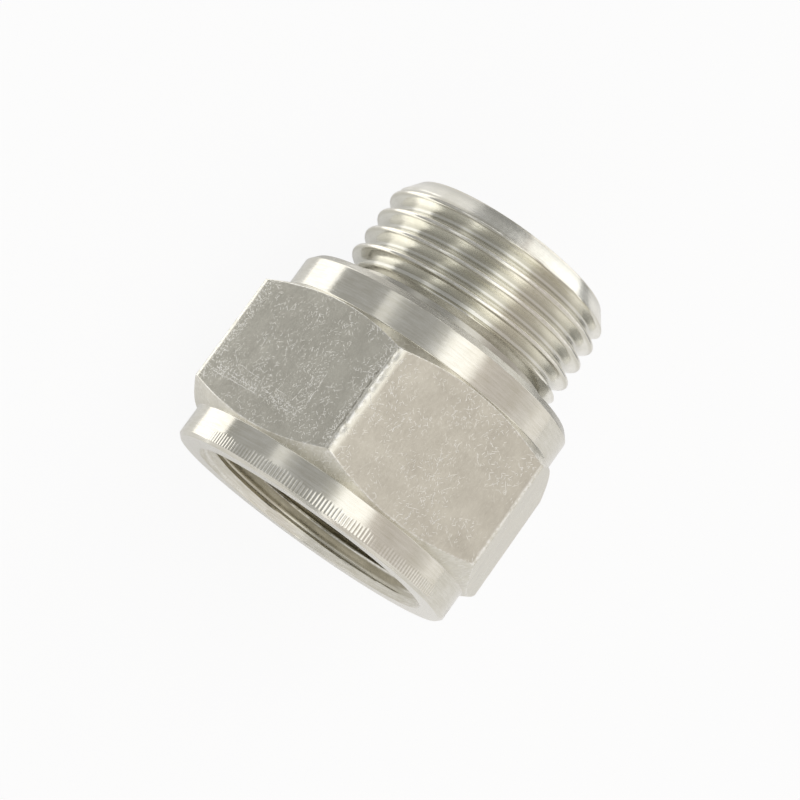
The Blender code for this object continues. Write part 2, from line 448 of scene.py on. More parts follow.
class Shell:
    """Points and faces of a piece that is turned about the cable axis."""

    def __init__(self, angles):
        self.angles = angles
        self.points = []
        self.wear_and_highlight = []
        self.bore_shade = []
        self.faces = []
        self.marks = []

    def point(self, s, r, column, wear_and_highlight=0.0, bore_shade=0.0):
        """A point of a column, as its number."""
        self.points.append(place(s, r, self.angles[column]))
        self.wear_and_highlight.append(wear_and_highlight)
        self.bore_shade.append(bore_shade)
        return len(self.points) - 1

    def row(self, s, r):
        """A row round the axis."""
        return [self.point(s, r, column) for column in range(len(self.angles))]

    def face(self, corners, mark):
        """A face, unless its corners fall together."""
        kept = [c for i, c in enumerate(corners) if c != corners[i - 1]]
        if len(set(kept)) > 2:
            self.faces.append(kept)
            self.marks.append(mark)

    def join(self, one, two, mark):
        """Faces between two rows."""
        for j in range(len(self.angles)):
            k = (j + 1) % len(self.angles)
            self.face([one[j], one[k], two[k], two[j]], mark)

    def lathe(self, profile_of, mark_of, wear_and_highlight_of=lambda angle, s: 0.0):
        """Rows along a profile that may differ from column to column. It returns the outer rows."""
        columns = [profile_of(angle) for angle in self.angles]
        count = len(columns[0])
        rows = []
        for i in range(count):
            row = []
            for j, angle in enumerate(self.angles):
                s, r = columns[j][i]
                row.append(self.point(s, r, j, wear_and_highlight_of(angle, s)))
            rows.append(row)
        for i in range(count - 1):
            middle = (columns[0][i][0] + columns[0][i + 1][0]) / 2
            self.join(rows[i], rows[i + 1], mark_of(middle))
        return rows[0], rows[-1]

    def thread(self, low, high, s_low, s_high, crest, radius_of, mark):
        """A helical grid between two rows. Its rows follow the thread, and stop at the two rows."""
        steps = thread_steps()
        per_turn = len(steps)
        made = {}

        def vertex(column, index):
            turns, step = divmod(index, per_turn)
            s = crest + PITCH * (self.angles[column] / 360 + turns) + steps[step]
            if s <= s_low + SNAP:
                return low[column]
            if s >= s_high - SNAP:
                return high[column]
            key = (column, index)
            if key not in made:
                r, wear_and_highlight, bore_shade = radius_of(s, steps[step])
                made[key] = self.point(s, r, column, wear_and_highlight, bore_shade)
            return made[key]

        first = int((s_low - crest) / PITCH - SPARE_TURNS) * per_turn
        last = int((s_high - crest) / PITCH + SPARE_TURNS) * per_turn
        columns = len(self.angles)
        for j in range(columns):
            for i in range(first, last):
                if j + 1 < columns:
                    ahead = (vertex(j + 1, i), vertex(j + 1, i + 1))
                else:
                    ahead = (vertex(0, i + per_turn), vertex(0, i + 1 + per_turn))
                self.face([vertex(j, i), ahead[0], ahead[1], vertex(j, i + 1)], mark)

    def finish(self, name, materials):
        """The object, with its materials, its wear and painted highlight, its painted bore shade and its
        sharp edges.
        """
        mesh = bpy.data.meshes.new(name)
        mesh.from_pydata(self.points, [], self.faces)
        mesh.polygons.foreach_set("material_index", self.marks)
        for label, values in (("wear_and_highlight", self.wear_and_highlight), ("bore_shade", self.bore_shade)):
            layer = mesh.attributes.new(label, "FLOAT", "POINT")
            layer.data.foreach_set("value", values)
        shaped = bmesh.new()
        shaped.from_mesh(mesh)
        loose = [v for v in shaped.verts if not v.link_faces]
        bmesh.ops.delete(shaped, geom=loose, context="VERTS")
        bmesh.ops.recalc_face_normals(shaped, faces=shaped.faces)
        shaped.to_mesh(mesh)
        shaped.free()
        mesh.shade_smooth()
        mesh.set_sharp_from_angle(angle=SHARP_ANGLE)
        for material in materials:
            mesh.materials.append(material)
        obj = bpy.data.objects.new(name, mesh)
        bpy.context.scene.collection.objects.link(obj)
        return obj


def add_node(tree, kind, inputs=None, **settings):
    """A new node with its settings, and with its inputs set or linked."""
    node = tree.nodes.new(kind)
    for key, value in settings.items():
        setattr(node, key, value)
    for key, value in (inputs or {}).items():
        if isinstance(value, bpy.types.NodeSocket):
            tree.links.new(value, node.inputs[key])
        else:
            node.inputs[key].default_value = value
    return node


class Nodes:
    """A material's nodes, made in short lines."""

    def __init__(self, name, colour, roughness, metallic):
        self.material = bpy.data.materials.new(name)
        self.material.use_nodes = True
        self.tree = self.material.node_tree
        self.shader = self.tree.nodes["Principled BSDF"]
        self.shader.inputs["Base Color"].default_value = (*colour, 1)
        self.shader.inputs["Roughness"].default_value = roughness
        self.shader.inputs["Metallic"].default_value = metallic
        self.place = self.add("ShaderNodeTexCoord").outputs["Object"]
        self.millimetres = self.scaled(1, 1, 1)

    def add(self, kind, inputs=None, **settings):
        return add_node(self.tree, kind, inputs, **settings)

    def scaled(self, *shares):
        """Place in millimetres, with a share below 1 where a pattern is drawn out along an axis."""
        scale = [share / MM for share in shares]
        node = self.add("ShaderNodeMapping", {"Vector": self.place, "Scale": scale})
        return node.outputs["Vector"]

    def vector(self, *parts):
        return self.add("ShaderNodeCombineXYZ", dict(enumerate(parts))).outputs[0]

    def split(self, vector):
        return self.add("ShaderNodeSeparateXYZ", {0: vector}).outputs

    def attribute(self, name):
        return self.add("ShaderNodeAttribute", attribute_name=name).outputs["Fac"]

    def math(self, operation, *values):
        return self.add("ShaderNodeMath", dict(enumerate(values)), operation=operation).outputs[0]

    def chain(self, operation, values):
        total = values[0]
        for value in values[1:]:
            total = self.math(operation, total, value)
        return total

    def plus(self, *values):
        return self.chain("ADD", values)

    def minus(self, *values):
        return self.chain("SUBTRACT", values)

    def times(self, *values):
        return self.chain("MULTIPLY", values)

    def largest(self, *values):
        return self.chain("MAXIMUM", values)

    def blend(self, one, two, share):
        """Two values added up, with a share of the second and the rest of the first."""
        return self.plus(self.times(one, 1 - share), self.times(two, share))

    def spread(self, value, low, high, new_low=0.0, new_high=1.0):
        node = self.add(
            "ShaderNodeMapRange",
            {"Value": value, "From Min": low, "From Max": high, "To Min": new_low, "To Max": new_high},
        )
        return node.outputs["Result"]

    def noise(self, vector, scale, detail=2.0, roughness=0.5):
        node = self.add(
            "ShaderNodeTexNoise",
            {"Vector": vector, "Scale": scale, "Detail": detail, "Roughness": roughness},
        )
        return node.outputs["Fac"]

    def round_place(self):
        """Place along the axis in mm, angle round it in degrees, and radius in mm."""
        x, y, z = self.split(self.millimetres)
        s = self.plus(x, LENGTH / 2)
        z = self.minus(z, AXIS_HEIGHT)
        angle = self.times(self.math("ARCTAN2", y, z), 180 / math.pi)
        radius = self.math("SQRT", self.plus(self.times(y, y), self.times(z, z)))
        return s, angle, radius

    def mix_colour(self, factor, one, two):
        ends = [c if isinstance(c, bpy.types.NodeSocket) else (*c, 1) for c in (one, two)]
        node = self.add("ShaderNodeMix", {0: factor, 6: ends[0], 7: ends[1]}, data_type="RGBA")
        return node.outputs[2]

    def bump(self, height, strength, distance, before=None):
        inputs = {"Height": height, "Strength": strength, "Distance": distance}
        if before is not None:
            inputs["Normal"] = before
        return self.add("ShaderNodeBump", inputs).outputs["Normal"]

    def wire(self, colour, roughness, normal):
        for key, value in (("Base Color", colour), ("Roughness", roughness), ("Normal", normal)):
            self.tree.links.new(value, self.shader.inputs[key])
        return self.material


def shaded(colour, share):
    return [share * x for x in colour]


def turned_marks(nodes, s, angle, radius, fineness):
    """Fine rings left by the lathe tool, broken up a little round the axis."""
    rings = nodes.vector(s, radius, nodes.times(angle, RING_CHANGE))
    return nodes.noise(rings, fineness, detail=3.0, roughness=0.6)


def chatter_marks(nodes, s, angle):
    """Short axial marks of a chattering tool beside the mouth's rim."""
    along = nodes.vector(s, nodes.times(angle, CHATTER_CHANGE))
    drift = nodes.times(nodes.noise(along, scale=0.9), CHATTER_DRIFT)
    wave = nodes.math("SINE", nodes.plus(nodes.times(angle, 2 * math.pi / CHATTER_STEP), drift))
    ragged = nodes.noise(nodes.vector(angle), scale=0.35, detail=3.0)
    left = nodes.minus(nodes.plus(ragged, CHATTER_END), s)
    band = nodes.times(nodes.spread(s, *CHATTER_START), nodes.spread(left, 0.0, CHATTER_END_SOFT))
    seen = nodes.times(nodes.spread(angle, *CHATTER_FROM), nodes.spread(angle, *CHATTER_TO))
    patches = nodes.spread(nodes.noise(along, scale=0.12, detail=1.0), *CHATTER_PATCHES)
    return nodes.times(wave, band, nodes.largest(seen, patches))


def plate_material(name, roughness, tool_marks, chatter=False, shade=1.0):
    """Nickel plate over turned brass."""
    nodes = Nodes(name, NICKEL, roughness, metallic=1.0)
    s, angle, radius = nodes.round_place()
    rings = turned_marks(nodes, s, angle, radius, fineness=7.0)
    cloud = nodes.noise(nodes.millimetres, scale=0.35, detail=4.0, roughness=0.6)
    tone = nodes.blend(rings, cloud, 0.5)
    # A shade below 1 darkens the plate's colours: painted shade
    deep = shaded(NICKEL_DEEP, shade)
    pale = shaded(NICKEL_PALE, shade)
    colour = nodes.mix_colour(nodes.spread(tone, *TONE_BAND), deep, pale)
    rough = nodes.spread(tone, *ROUGH_BAND, roughness - 0.04, roughness + 0.05)
    normal = nodes.bump(rings, strength=tool_marks, distance=RING_BUMP)
    if chatter:
        marks = chatter_marks(nodes, s, angle)
        # The chatter marks are real; their light stripes are a painted highlight and their dark stripes a
        # painted shade
        light = nodes.spread(marks, CHATTER_SEEN, 1.0, 0.0, CHATTER_LIGHT)
        dark = nodes.spread(marks, -CHATTER_SEEN, -1.0, 0.0, CHATTER_SHADE)
        colour = nodes.mix_colour(light, colour, NICKEL_WEAR_AND_HIGHLIGHT)
        colour = nodes.mix_colour(dark, colour, CHATTER_DARK)
        normal = nodes.bump(marks, strength=1.0, distance=CHATTER_BUMP, before=normal)
    return nodes.wire(colour, rough, normal)


def strokes(nodes, s, arc, cells, shift, half_length, half_width, share):
    """Short bent nicks at random turns, at most one to a cell of a plane that is laid round the axis."""
    u = nodes.plus(nodes.times(s, cells), shift)
    v = nodes.plus(nodes.times(arc, cells), shift)
    plane = nodes.vector(u, v)
    settings = {"voronoi_dimensions": "2D", "feature": "F1"}
    cell = nodes.add("ShaderNodeTexVoronoi", {"Vector": plane, "Scale": 1.0}, **settings).outputs
    away = nodes.add("ShaderNodeVectorMath", {0: plane, 1: cell["Position"]}, operation="SUBTRACT")
    off = nodes.split(away.outputs[0])
    chance = nodes.add("ShaderNodeSeparateColor", {0: cell["Color"]}).outputs
    turn = nodes.times(nodes.minus(chance[0], 0.5), NICK_TURN)
    cosine = nodes.math("COSINE", turn)
    sine = nodes.math("SINE", turn)
    along = nodes.plus(nodes.times(off[0], cosine), nodes.times(off[1], sine))
    across = nodes.minus(nodes.times(off[1], cosine), nodes.times(off[0], sine))
    bend = nodes.times(nodes.minus(chance[1], 0.5), NICK_BEND)
    bent = nodes.plus(across, nodes.times(bend, nodes.times(along, along)))
    thin = nodes.spread(nodes.math("ABSOLUTE", bent), half_width, half_width * SOFT_SIDE)
    short = nodes.spread(nodes.math("ABSOLUTE", along), half_length, half_length * SOFT_END)
    there = nodes.math("LESS_THAN", chance[2], share)
    return nodes.times(thin, short, there)


def near_line(nodes, s, arc, line):
    """How near a place is to a straight line on the face, from 1 on it to 0 at half its width."""
    s_one, arc_one, s_two, arc_two, half_width = line
    length = math.hypot(s_two - s_one, arc_two - arc_one)
    run = (s_two - s_one) / length
    rise = (arc_two - arc_one) / length
    from_s = nodes.minus(s, s_one)
    from_arc = nodes.minus(arc, arc_one)
    along = nodes.plus(nodes.times(from_s, run), nodes.times(from_arc, rise))
    across = nodes.minus(nodes.times(from_arc, run), nodes.times(from_s, rise))
    beyond = nodes.minus(nodes.math("ABSOLUTE", nodes.minus(along, length / 2)), length / 2)
    away = nodes.largest(nodes.math("ABSOLUTE", across), beyond)
    return nodes.spread(away, half_width, half_width * SOFT_SIDE)


def hexagon_nicks(nodes, s, arc, bands):
    """Nicks all over the faces in loose clouds, and closely packed ones in the bands."""
    clouds = nodes.spread(nodes.noise(nodes.millimetres, scale=0.4), *NICK_CLOUD_BAND, STRAY_NICKS, 1.0)
    loose = nodes.largest(*[strokes(nodes, s, arc, *layer) for layer in NICK_LAYERS])
    packed = nodes.largest(*[strokes(nodes, s, arc, *layer) for layer in PACKED_LAYERS])
    return nodes.largest(nodes.times(loose, nodes.largest(clouds, bands)), nodes.times(packed, bands))


def hexagon_material():
    """Drawn bar under nickel plate: a satin skin with nicks and short scratches in a painted glint, worn
    edges with a painted highlight, and a groove in painted shade.
    """
    nodes = Nodes("hexagon_plate", NICKEL, roughness=0.3, metallic=1.0)
    s, angle, _ = nodes.round_place()
    arc = nodes.times(angle, HALF_FLATS * math.pi / 180)
    grain = nodes.noise(nodes.scaled(0.5, 1, 1), scale=4.0, detail=4.0, roughness=0.7)
    cloud = nodes.noise(nodes.millimetres, scale=0.45, detail=5.0, roughness=0.65)
    bands = nodes.largest(*[near_line(nodes, s, arc, line) for line in CROWDS])
    gaps = nodes.spread(nodes.noise(nodes.millimetres, scale=1.6, detail=3.0), *LINE_GAP_BAND)
    sway = nodes.times(nodes.minus(nodes.noise(nodes.millimetres, scale=1.2), 0.5), LINE_SWAY)
    swayed_s = nodes.plus(s, sway)
    swayed_arc = nodes.plus(arc, sway)
    scores = nodes.largest(*[near_line(nodes, swayed_s, swayed_arc, line) for line in SCORES])
    nicks = nodes.largest(hexagon_nicks(nodes, s, arc, bands), nodes.times(scores, gaps))
    # Painted shade: a dark line along a groove beside the front corner
    dark = nodes.times(near_line(nodes, s, swayed_arc, DARK_LINE), gaps)
    tone = nodes.blend(grain, cloud, 0.6)
    base = nodes.mix_colour(nodes.spread(tone, *HEX_TONE_BAND), HEX_DEEP, HEX_PALE)
    ragged = nodes.spread(nodes.noise(nodes.millimetres, scale=3.0, detail=3.0), *FRAY_BAND)
    # Painted highlight along the hexagon's edges and corners, ragged like wear
    frayed_highlight = nodes.times(nodes.attribute("wear_and_highlight"), ragged)
    # Nicks and scores are real marks; their near-white colour is a painted glint
    bright = nodes.largest(nodes.times(nicks, NICK_SHOWS), nodes.times(frayed_highlight, FRAY_HIGHLIGHT_SHOWS))
    colour = nodes.mix_colour(bright, base, NICK_BRIGHT)
    colour = nodes.mix_colour(nodes.times(dark, LINE_SHOWS), colour, LINE_DARK)
    rough = nodes.spread(tone, *ROUGH_BAND, 0.26, 0.36)
    normal = nodes.bump(grain, strength=0.6, distance=SKIN_BUMP)
    normal = nodes.bump(nicks, strength=1.0, distance=SKIN_BUMP, before=normal)
    return nodes.wire(colour, rough, normal)


def thread_material(name, roughness, deep=NICKEL_DEEP, pale=NICKEL_PALE, bore_shaded=False):
    """Cut thread under nickel plate, with thin bright lines of wear and painted highlight on its crests,
    and painted shade by depth. A bore-shaded one is dark with painted shade apart from its countersink."""
    nodes = Nodes(name, NICKEL, roughness, metallic=1.0)
    s, angle, radius = nodes.round_place()
    rings = turned_marks(nodes, s, angle, radius, fineness=6.0)
    speck = nodes.noise(nodes.millimetres, scale=2.5, detail=4.0, roughness=0.7)
    cloud = nodes.noise(nodes.millimetres, scale=0.4, detail=3.0, roughness=0.6)
    base = nodes.mix_colour(nodes.spread(cloud, *TONE_BAND), deep, pale)
    # Painted shade: the roots darker where shade falls between the turns, the outer band darker to dim the
    # crests' reflection
    root = nodes.spread(radius, *ROOT_BAND, 0.0, DEPTH_SHADE)
    base = nodes.mix_colour(root, base, shaded(deep, ROOT_SHADE))
    crest = nodes.spread(radius, *CREST_BAND, 0.0, DEPTH_SHADE)
    base = nodes.mix_colour(crest, base, NICKEL_DEEP)
    # Painted shade: the bore dark apart from the lit countersink
    if bore_shaded:
        plate = nodes.mix_colour(nodes.spread(rings, *TONE_BAND), NICKEL_DEEP, NICKEL_PALE)
        base = nodes.mix_colour(nodes.attribute("bore_shade"), plate, base)
    # Painted highlight: a thin near-white line on the crests, partly wear
    worn_and_lit = nodes.times(nodes.attribute("wear_and_highlight"), nodes.spread(speck, *SPECK_BAND))
    colour = nodes.mix_colour(worn_and_lit, base, NICKEL_WEAR_AND_HIGHLIGHT)
    rough = nodes.spread(speck, *ROUGH_BAND, roughness - 0.05, roughness + 0.06)
    return nodes.wire(colour, rough, nodes.bump(rings, strength=0.5, distance=SKIN_BUMP))


def soft_material(name, colour, other, roughness):
    """Moulded rubber or plastic with a fine uneven skin."""
    nodes = Nodes(name, colour, roughness, metallic=0.0)
    cloud = nodes.noise(nodes.millimetres, scale=0.8, detail=4.0, roughness=0.6)
    grain = nodes.noise(nodes.millimetres, scale=12.0, detail=3.0, roughness=0.6)
    mixed = nodes.mix_colour(nodes.spread(cloud, *TONE_BAND), colour, other)
    rough = nodes.spread(grain, *ROUGH_BAND, roughness - 0.08, roughness + 0.08)
    return nodes.wire(mixed, rough, nodes.bump(grain, strength=0.2, distance=RUBBER_BUMP))


def hexagon_flat(edge):
    """Where the flat starts and ends along the axis, between the two cones, for its radius there."""
    return HEX_START + (edge - MOUTH_RADIUS) * CONE, HEX_END - (edge - PANEL_RADIUS) * CONE


def body_outside(angle):
    """From the inner edge of the end ring to the groove at the foot of the stem."""
    r = hexagon_radius(angle)
    foot = COLLAR_END - SEAT_RECESS
    flat_start, flat_end = hexagon_flat(r)
    flat = []
    for k in range(1, HEX_ROWS):
        s = flat_start + HEX_MARGIN + (flat_end - flat_start - 2 * HEX_MARGIN) * k / HEX_ROWS
        dent = corner_dent(angle, s)
        flat.append((s, hexagon_radius(angle, dent) - KNOCK_ALL_ROUND * dent, 0))
    return filleted(
        [
            (MOUTH_EDGE, female_edge(angle, MOUTH_EDGE), 0),
            (0, female_edge(angle, 0), HAIR),
            (0, MOUTH_RADIUS - MOUTH_CHAMFER, SMALL),
            (MOUTH_CHAMFER, MOUTH_RADIUS, SMALL),
            (HEX_START, MOUTH_RADIUS, EASED),
            (flat_start, r, EASED),
            *flat,
            (flat_end, r, EASED),
            (HEX_END, PANEL_RADIUS, EASED),
            (COLLAR_END - PANEL_CHAMFER_LENGTH, PANEL_RADIUS, PLAIN),
            (COLLAR_END, PANEL_RADIUS - PANEL_CHAMFER_WIDTH, PLAIN),
            (COLLAR_END, SEAT_RADIUS, KEEN),
            (foot, SEAT_RADIUS, KEEN),
            (foot, RELIEF_RADIUS, EASED),
            (RELIEF_END, RELIEF_RADIUS, 0),
        ]
    )


def hexagon_wear_and_highlight(angle, s):
    """Wear and painted highlight along the hexagon's edges."""
    if not HEX_START + HEX_WEAR_AND_HIGHLIGHT_WIDTH < s < HEX_END - HEX_WEAR_AND_HIGHLIGHT_WIDTH:
        return 0.0
    flat_start, flat_end = hexagon_flat(hexagon_radius(angle))
    from_end = min(s - flat_start, flat_end - s)
    from_corner = 30 - abs((angle % 60) - 30)
    return max(0.0, 1 - abs(from_end) / HEX_WEAR_AND_HIGHLIGHT_WIDTH, 1 - from_corner / HEX_WEAR_AND_HIGHLIGHT_TURN)


def outside_mark(s):
    """Which of the body's materials the outside has."""
    if s < HEX_START + HEX_PLATE_MARGIN:
        return MOUTH_PLATE
    if s < HEX_END - HEX_PLATE_MARGIN:
        return HEX_PLATE
    if s < COLLAR_END - PANEL_CHAMFER_LENGTH + FOOT_PLATE_MARGIN:
        return COLLAR_PLATE
    return FOOT_PLATE


def body_inside(angle):
    """From the edge of the stem's tip to the inner end of the mouth's thread."""
    return filleted(
        [
            (MALE_END, tip_cone(MALE_END), 0),
            (LENGTH, TIP_FACE_RADIUS, SMALL),
            (LENGTH, ENTRY_RADIUS + EDGE_BREAK, CRISP),
            (LENGTH - EDGE_BREAK, ENTRY_RADIUS, CRISP),
            (CHAMBER_DEPTH, ENTRY_RADIUS, SMALL),
            (CHAMBER_DEPTH, MINOR_RADIUS, EASED),
            (FEMALE_FADE[1], MINOR_RADIUS, 0),
        ]
    )


def inside_mark(s):
    """Which of the body's materials the tip's face and the bore have."""
    return COLLAR_PLATE if s > LENGTH - 2 * EDGE_BREAK else BORE_PLATE


def tip_cone(s):
    run = LENGTH - TIP_CHAMFER_START
    return MAJOR_RADIUS - (s - TIP_CHAMFER_START) * (MAJOR_RADIUS - TIP_FACE_RADIUS) / run


def crest_wear_and_highlight(depth):
    """Wear and painted highlight of the crest's thin line."""
    return max(0.0, 1 - depth / CREST_LINE)


def male_radius(s, off):
    """The stem's thread as radius, wear and painted highlight, and no painted bore shade. It runs out at
    both ends.
    """
    depth = thread_depth(off)
    fade = 1 - share_between(s, *TIP_FADE)
    ramp = RELIEF_RADIUS + (s - RELIEF_END) * RUN_OUT_SLOPE
    floor = RELIEF_RADIUS - (s - RELIEF_END) * (RELIEF_RADIUS - MINOR_RADIUS) / RUN_OUT
    r = softer_of(MAJOR_RADIUS - depth * fade, ramp, RUN_OUT_SOFT)
    return max(min(r, tip_cone(s)), floor), crest_wear_and_highlight(depth) * fade, 0.0


def female_radius(s, off):
    """The mouth's thread as radius, wear and painted highlight, and painted bore shade, with a 45 degree
    countersink cut across it.
    """
    depth = thread_depth(off)
    groove = MINOR_RADIUS + depth * (1 - share_between(s, *FEMALE_FADE))
    countersink = COUNTERSINK_RADIUS - s
    wear_and_highlight = crest_wear_and_highlight(depth)
    # Painted shade of the bore past the countersink, sparing the crests' bright lines
    in_groove = share_between(groove - countersink, 0, BORE_SHADE_STEP)
    past_cone = share_between(s - COUNTERSINK_LIGHT_END, 0, BORE_SHADE_STEP) * (1 - wear_and_highlight)
    return max(groove, countersink), wear_and_highlight, max(in_groove, past_cone)


def female_edge(angle, s):
    """The mouth's edge, which the groove of the thread may run out through on one side."""
    return female_radius(s, s - FEMALE_CREST - PITCH * angle / 360)[0]


def make_body():
    shell = Shell(BODY_ANGLES)
    mouth_row, foot_row = shell.lathe(body_outside, outside_mark, hexagon_wear_and_highlight)
    tip_row, deep_row = shell.lathe(body_inside, inside_mark)
    shell.thread(foot_row, tip_row, RELIEF_END, MALE_END, MALE_CREST, male_radius, THREAD_PLATE)
    shell.thread(
        mouth_row, deep_row, MOUTH_EDGE, FEMALE_FADE[1], FEMALE_CREST, female_radius, BORE_PLATE
    )
    materials = [
        plate_material("mouth_plate", roughness=0.14, tool_marks=0.4, chatter=True),
        hexagon_material(),
        plate_material("collar_plate", roughness=0.14, tool_marks=0.6),
        thread_material("thread_plate", roughness=0.17, deep=THREAD_DEEP, pale=THREAD_PALE),
        thread_material("bore_plate", roughness=0.3, deep=BORE_DEEP, pale=BORE_PALE, bore_shaded=True),
        plate_material("foot_plate", roughness=0.26, tool_marks=1.2, shade=FOOT_SHADE),
    ]
    body = shell.finish("gland_body_look", materials)
    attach(body, "gland_body")
    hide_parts("gland_body")


def screw_radius(s, off):
    """The pressing screw's thread as radius, wear and painted highlight, and no painted bore shade. It
    slopes off at both ends.
    """
    depth = thread_depth(off)
    ends = INSERT_RADIUS + min(s - SCREW_START, SCREW_END - s)
    return min(MAJOR_RADIUS - SCREW_GAP - depth, ends), crest_wear_and_highlight(depth), 0.0


def make_screw():
    shell = Shell(INNER_ANGLES)
    thread_start = SCREW_START + SCREW_LEAD
    thread_end = SCREW_END - SCREW_LEAD
    inside = filleted(
        [
            (thread_end, INSERT_RADIUS + SCREW_LEAD, 0),
            (SCREW_END, INSERT_RADIUS, CRISP),
            (SCREW_END, NOSE_RADIUS, FINE),
            (NOSE_END, NOSE_RADIUS, SMALL),
            (NOSE_END, WAY_RADIUS, SMALL),
            (SCREW_START + FUNNEL, WAY_RADIUS, PLAIN),
            (SCREW_START, WAY_RADIUS + FUNNEL, SMALL),
            (SCREW_START, INSERT_RADIUS, CRISP),
            (thread_start, INSERT_RADIUS + SCREW_LEAD, 0),
        ]
    )
    end_row, start_row = shell.lathe(lambda angle: inside, lambda s: 0)
    crest = FEMALE_CREST + PITCH / 2
    shell.thread(start_row, end_row, thread_start, thread_end, crest, screw_radius, 1)
    materials = [
        plate_material("screw_plate", roughness=0.24, tool_marks=0.3),
        thread_material("screw_thread_plate", roughness=0.2),
    ]
    screw = shell.finish("gland_screw_look", materials)
    cut_slot(screw)
    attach(screw, "gland_screw")
    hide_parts("gland_screw")


def cut_slot(screw):
    """The driver slot across the screw's face."""
    data = bmesh.new()
    bmesh.ops.create_cube(data, size=1)
    size = Vector((2 * SLOT_DEPTH, SLOT_WIDTH, SLOT_TOOL_LENGTH)) * MM
    centre = Vector(place(SCREW_START, 0, 0))
    for vert in data.verts:
        vert.co = vert.co * size + centre
    mesh = bpy.data.meshes.new("slot_tool")
    data.to_mesh(mesh)
    data.free()
    tool = bpy.data.objects.new("slot_tool", mesh)
    bpy.context.scene.collection.objects.link(tool)
    cut = screw.modifiers.new("slot", "BOOLEAN")
    cut.operation = "DIFFERENCE"
    cut.solver = "EXACT"
    cut.object = tool
    graph = bpy.context.evaluated_depsgraph_get()
    done = bpy.data.meshes.new_from_object(screw.evaluated_get(graph))
    screw.modifiers.clear()
    screw.data = done
    bpy.data.objects.remove(tool, do_unlink=True)
    done.set_sharp_from_angle(angle=SHARP_ANGLE)


def make_ring(name, node, body, material, corners):
    """A closed ring with its corners rounded."""
    shell = Shell(INNER_ANGLES)
    rows = [shell.row(s, r) for s, r in filleted(corners)]
    for i in range(len(rows)):
        shell.join(rows[i - 1], rows[i], 0)
    obj = shell.finish(name, [material])
    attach(obj, body)
    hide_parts(node)
    return obj


def make_slip_ring():
    step = RING_START + NOSE_LENGTH
    corners = [
        (RING_START, SOCKET_RADIUS, FINE),
        (RING_START, INSERT_RADIUS, PLAIN),
        (RING_END, INSERT_RADIUS, PLAIN),
        (RING_END, WAY_RADIUS, EASED),
        (step, WAY_RADIUS, SMALL),
        (step, SOCKET_RADIUS, FINE),
    ]
    material = soft_material("ring_polyamide", POLYAMIDE, POLYAMIDE_DEEP, roughness=0.45)
    make_ring("slip_ring_look", "slip_ring", "slip_ring", material, corners)


def make_sealing_ring():
    groove_start = SEAL_MIDDLE - RIB_WIDTH / 2 - CLEARANCE
    groove_end = SEAL_MIDDLE + RIB_WIDTH / 2 + CLEARANCE
    corners = [
        (SEAL_START, SEAL_BORE, EASED),
        (SEAL_START, INSERT_RADIUS, OUTER_LIP),
        (SEAL_END, INSERT_RADIUS, OUTER_LIP),
        (SEAL_END, SEAL_BORE, EASED),
        (groove_end, SEAL_BORE, PLAIN),
        (groove_end, SEAL_BORE + RIB_HEIGHT, PLAIN),
        (groove_start, SEAL_BORE + RIB_HEIGHT, PLAIN),
        (groove_start, SEAL_BORE, PLAIN),
    ]
    material = soft_material("seal_rubber", RUBBER, RUBBER_PALE, roughness=0.72)
    return make_ring("sealing_ring_look", "sealing_ring", "gland_body", material, corners)


def make_inner_seal():
    outer = SEAL_BORE - CLEARANCE
    rib_start = SEAL_MIDDLE - RIB_WIDTH / 2
    rib_end = SEAL_MIDDLE + RIB_WIDTH / 2
    corners = [
        (SEAL_START, INNER_BORE, INNER_LIP),
        (SEAL_START, outer, EASED),
        (rib_start, outer, SMALL),
        (rib_start, outer + RIB_HEIGHT, EASED),
        (rib_end, outer + RIB_HEIGHT, EASED),
        (rib_end, outer, SMALL),
        (SEAL_END, outer, EASED),
        (SEAL_END, INNER_BORE, INNER_LIP),
    ]
    material = soft_material("inner_rubber", INNER_RUBBER, INNER_RUBBER_PALE, roughness=0.68)
    return make_ring("inner_seal_look", "inner_seal", "gland_body", material, corners)


def make_seat_washer():
    corners = [
        (WASHER_START, WAY_RADIUS, PLAIN),
        (WASHER_START, INSERT_RADIUS, PLAIN),
        (WASHER_END, INSERT_RADIUS, PLAIN),
        (WASHER_END, WAY_RADIUS, PLAIN),
    ]
    material = plate_material("washer_zinc", roughness=0.32, tool_marks=0.3)
    make_ring("seat_washer_look", "seat_washer", "gland_body", material, corners)


def stage_plane(name, corners, material):
    mesh = bpy.data.meshes.new(name)
    mesh.from_pydata(corners, [], [(0, 1, 2, 3)])
    mesh.materials.append(material)
    plane = bpy.data.objects.new(name, mesh)
    bpy.context.scene.collection.objects.link(plane)
    return plane


